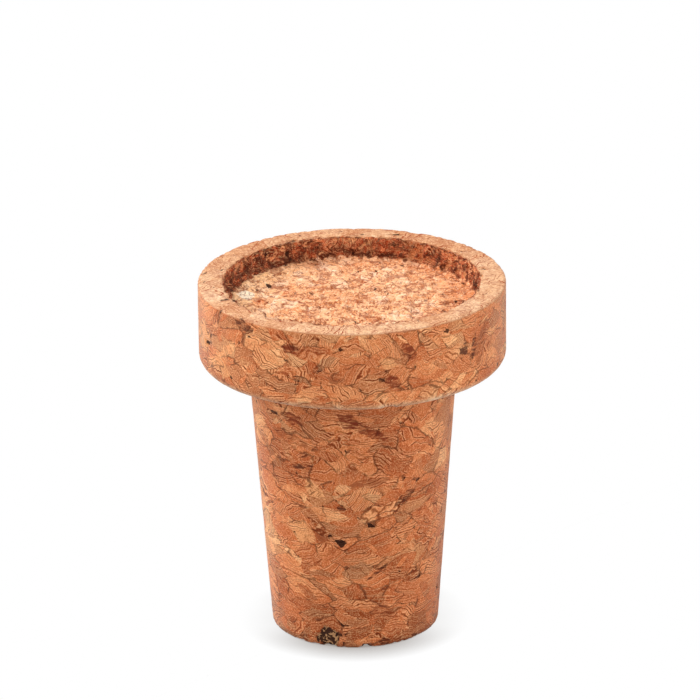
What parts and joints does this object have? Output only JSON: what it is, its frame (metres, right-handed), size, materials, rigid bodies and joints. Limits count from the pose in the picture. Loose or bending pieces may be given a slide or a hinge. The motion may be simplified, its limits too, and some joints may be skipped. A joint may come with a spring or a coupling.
{
  "type": "cork stopper",
  "caption": "Stopper turned from one piece of pressed cork granules: a wide round head with a shallow recess in its top face, on a tapered plug that seals a bottle's neck.",
  "frame": {"origin": "centre of the plug's flat foot, which is the lowest face", "axes": "+Z along the turning axis, from the foot up to the head"},
  "size_m": [0.03, 0.03, 0.0355],
  "materials": {
    "cork": "bare pressed cork granules, matte, with a paler sawn top face and a darker recess wall"
  },
  "bodies": {
    "root": {"stopper": "cork"}
  },
  "joints": []
}
